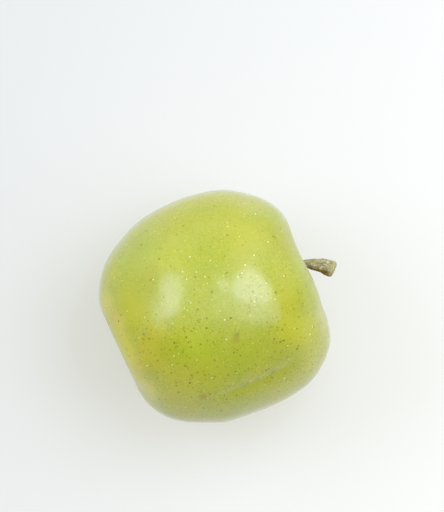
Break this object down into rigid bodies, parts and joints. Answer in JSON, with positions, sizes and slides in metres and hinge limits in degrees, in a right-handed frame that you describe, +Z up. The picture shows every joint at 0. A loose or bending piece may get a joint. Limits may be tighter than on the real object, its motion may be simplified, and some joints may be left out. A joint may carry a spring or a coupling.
{
  "type": "apple",
  "caption": "Green-yellow ribbed apple lying on its cheek, with a stout curved stem and a dried calyx in the basin.",
  "frame": {"origin": "middle of the flat spot on the lower cheek, where the apple touches the table", "axes": "+X along the core line towards the stem, +Z up from the table, +Y completes the right-handed frame"},
  "size_m": [0.0824, 0.0799, 0.0784],
  "materials": {
    "apple_skin": "smooth waxy skin, yellow-green, satin",
    "stem_bark": "rough olive-brown bark",
    "dried_sepals": "matt, dry, downy"
  },
  "bodies": {
    "root": {"fruit": "apple_skin", "stem": "stem_bark", "calyx": "dried_sepals"}
  },
  "joints": []
}
